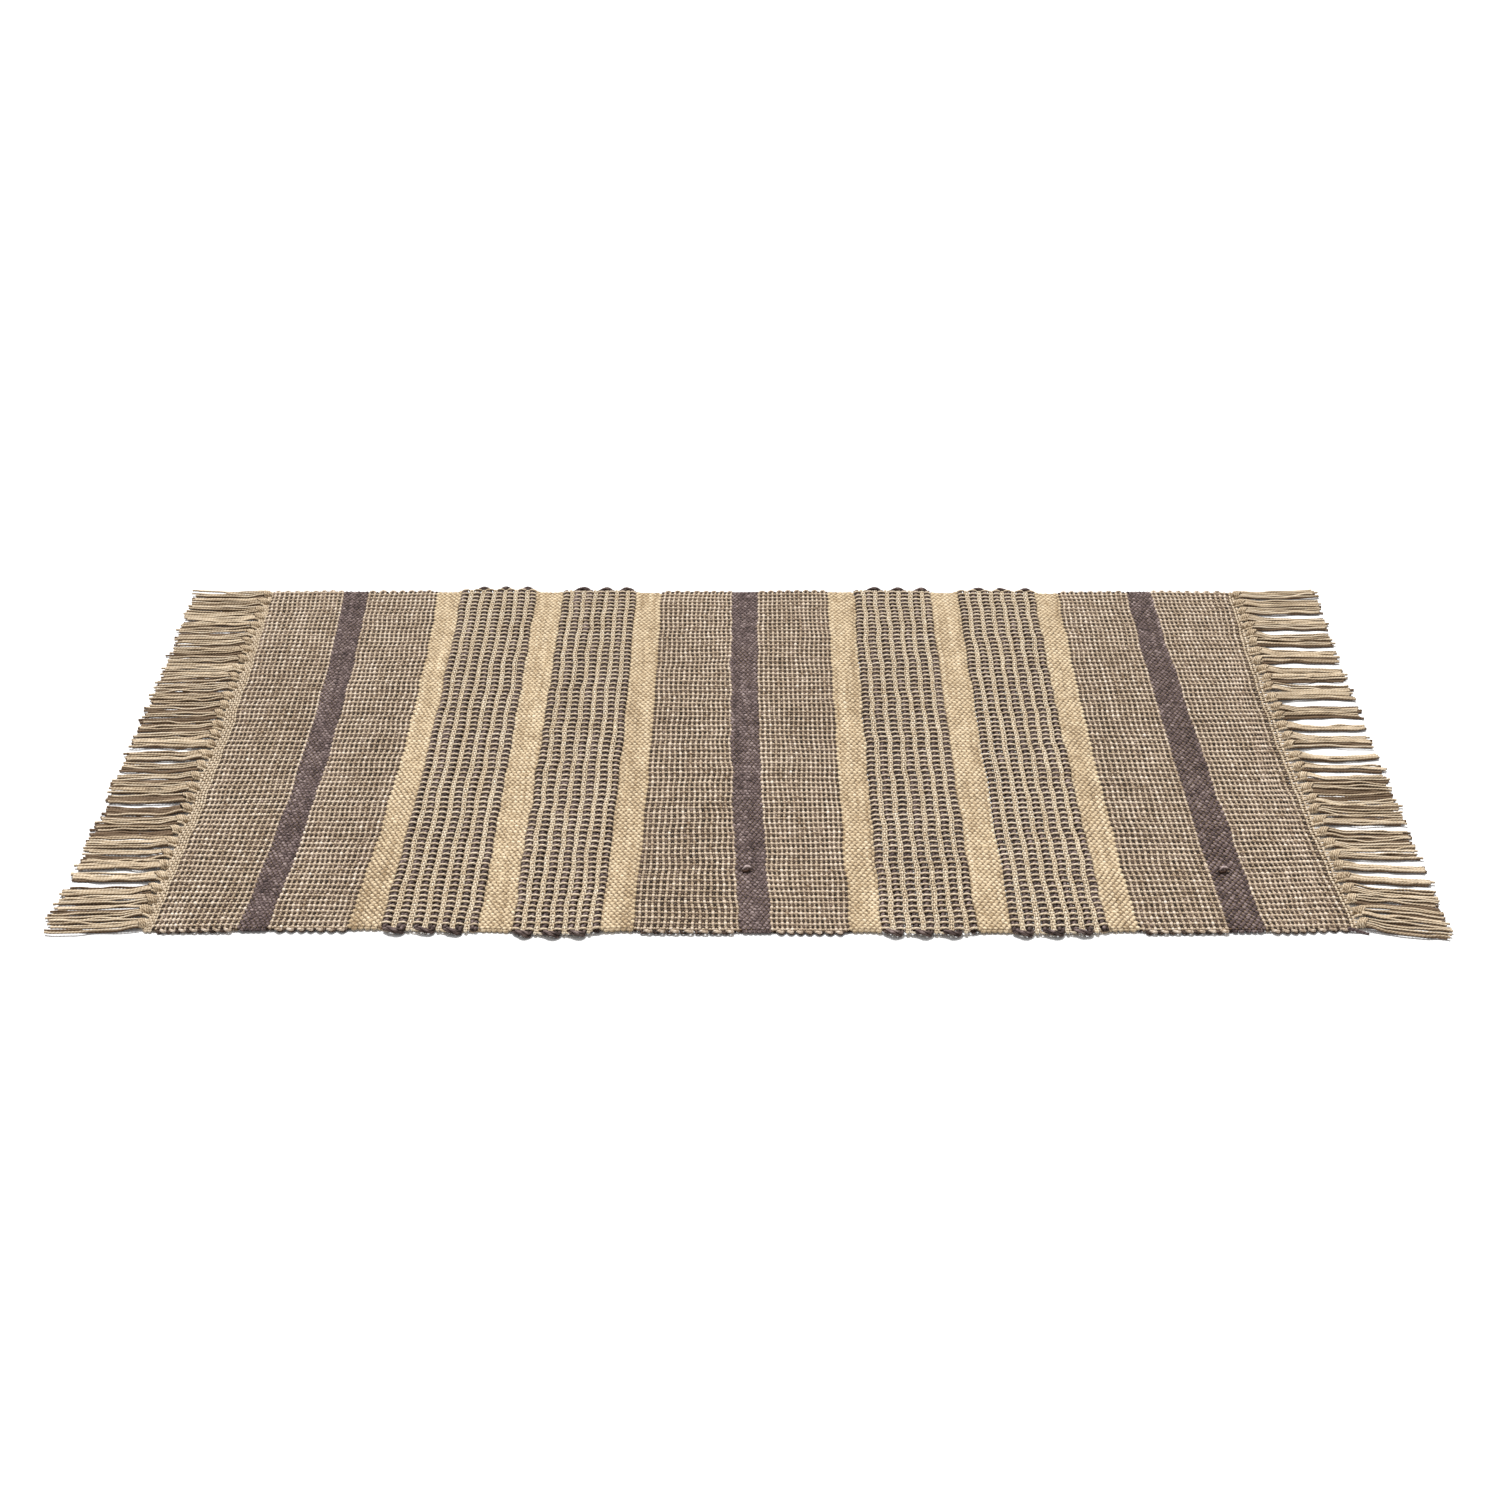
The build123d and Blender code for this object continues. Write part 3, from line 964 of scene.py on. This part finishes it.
def make_splices():
    """Two knotted joints in the dark wefts: a small tight knot with two short ends."""
    yarns = Yarns()
    low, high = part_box("splice_knots")
    y = (low.y + high.y) / 2
    for x in (low.x + SPLICE_FROM_END * MM, high.x - SPLICE_FROM_END * MM):
        moved_x, moved_y = lay(np.array([x]), np.array([y]))
        middle = np.array([moved_x[0], moved_y[0], SPLICE_HEIGHT * MM])
        share = np.linspace(0, 1, 30)
        angle = 2 * math.pi * 1.7 * share
        coil = np.stack([2.5 * np.cos(angle), 1.3 * np.sin(angle) + 1.8 * (share - 0.5),
                         1.5 * np.sin(angle + 0.6)], -1) * MM

        def painted_coil_shadow(rings):
            """Painted shadow: the front and the foot of the knot are painted dark, in the knot's
            own shade.
            """
            front = (middle[1] + 0.3 * MM - rings[..., 1]) / (2.2 * MM)
            return smooth((rings[..., 2] - 4.6 * MM) / (2.2 * MM)) * (1 - smooth(front))

        # The coil is painted much lighter than the dark wefts, a painted highlight on its top
        add_strand(yarns, middle + coil, 1.15 * MM, 1.05 * MM, 0.7, painted_coil_shadow)
        share = np.linspace(0, 1, 14)
        for way in (-1, 1):
            tail = np.stack([way * (1.5 + 4.5 * share), 1.2 - 2.5 * share ** 2,
                             0.6 + 0.8 * np.sin(math.pi * share) - 1.2 * share], -1) * MM
            thick = 0.75 * MM * (1 - 0.35 * share)
            # The short ends keep 0.4 of their colour: painted shade under the knot
            add_strand(yarns, middle + tail, thick, thick, -0.2, 0.4)
    return yarns


def make_tail():
    """The loose end of the last dark weft, which lies out from the front right corner."""
    yarns = Yarns()
    route = np.array(TAIL_ROUTE)
    share = np.linspace(0, 1, 30)
    corners = range(len(route))
    line = np.stack([np.interp(share * corners[-1], corners, values) for values in route.T], -1)
    for _ in range(6):
        line[1:-1] = (line[:-2] + 2 * line[1:-1] + line[2:]) / 4
    moved_x, moved_y = lay(line[:, 0] * MM, line[:, 1] * MM)
    path = np.stack([moved_x, moved_y, line[:, 2] * MM], -1)
    thick = TAIL_RADIUS * MM * (1 - 0.5 * share)
    add_strand(yarns, path, thick, thick, -0.5)
    return yarns


splices = finished(make_splices(), "splice_knots", "splice_knots_yarn")
tail = finished(make_tail(), "weft_tail", "weft_tail_yarn")

# ---------------------------------------------------------------- floor, light and camera
FLOOR_SIZE = 30.0
floor_mesh = bpy.data.meshes.new("floor")
half = FLOOR_SIZE / 2
floor_corners = [(-half, -half, 0), (half, -half, 0), (half, half, 0), (-half, half, 0)]
floor_mesh.from_pydata(floor_corners, [], [(0, 1, 2, 3)])
floor = bpy.data.objects.new("floor", floor_mesh)
bpy.context.scene.collection.objects.link(floor)
floor_look = bpy.data.materials.new("white floor")
floor_look.use_nodes = True
floor_shader = floor_look.node_tree.nodes["Principled BSDF"]
floor_shader.inputs["Base Color"].default_value = (0.93, 0.93, 0.93, 1)
floor_shader.inputs["Roughness"].default_value = 0.9
floor_shader.inputs["Specular IOR Level"].default_value = 0.1
floor_mesh.materials.append(floor_look)

world = bpy.data.worlds.new("studio")
world.use_nodes = True
world.node_tree.nodes["Background"].inputs["Color"].default_value = (1, 1, 1, 1)
world.node_tree.nodes["Background"].inputs["Strength"].default_value = 0.5
bpy.context.scene.world = world


def soft_sun(name, strength, spread, down, aside):
    """A light from far away that is as soft as a large softbox. Angles in degrees."""
    light = bpy.data.lights.new(name, "SUN")
    light.energy = strength
    light.angle = math.radians(spread)
    lamp = bpy.data.objects.new(name, light)
    lamp.rotation_euler = (math.radians(90 - down), 0, math.radians(-aside))
    bpy.context.scene.collection.objects.link(lamp)


soft_sun("key light", 4.1, 18, 66, 160)

CAMERA_PLACE = (0.0052, -1.9286, 1.0246)
CAMERA_DOWN = 28.12
CAMERA_ASIDE = 0.10
camera = bpy.data.cameras.new("camera")
camera.lens = 62.6
camera.sensor_width = 36.0
camera.clip_end = 100.0
viewer = bpy.data.objects.new("camera", camera)
viewer.location = CAMERA_PLACE
tilt, aside = math.radians(90 - CAMERA_DOWN), math.radians(CAMERA_ASIDE)
viewer.rotation_euler = (tilt, 0, aside)
bpy.context.scene.collection.objects.link(viewer)
bpy.context.scene.camera = viewer
bpy.context.scene.view_settings.view_transform = "Standard"

bpy.context.view_layer.update()
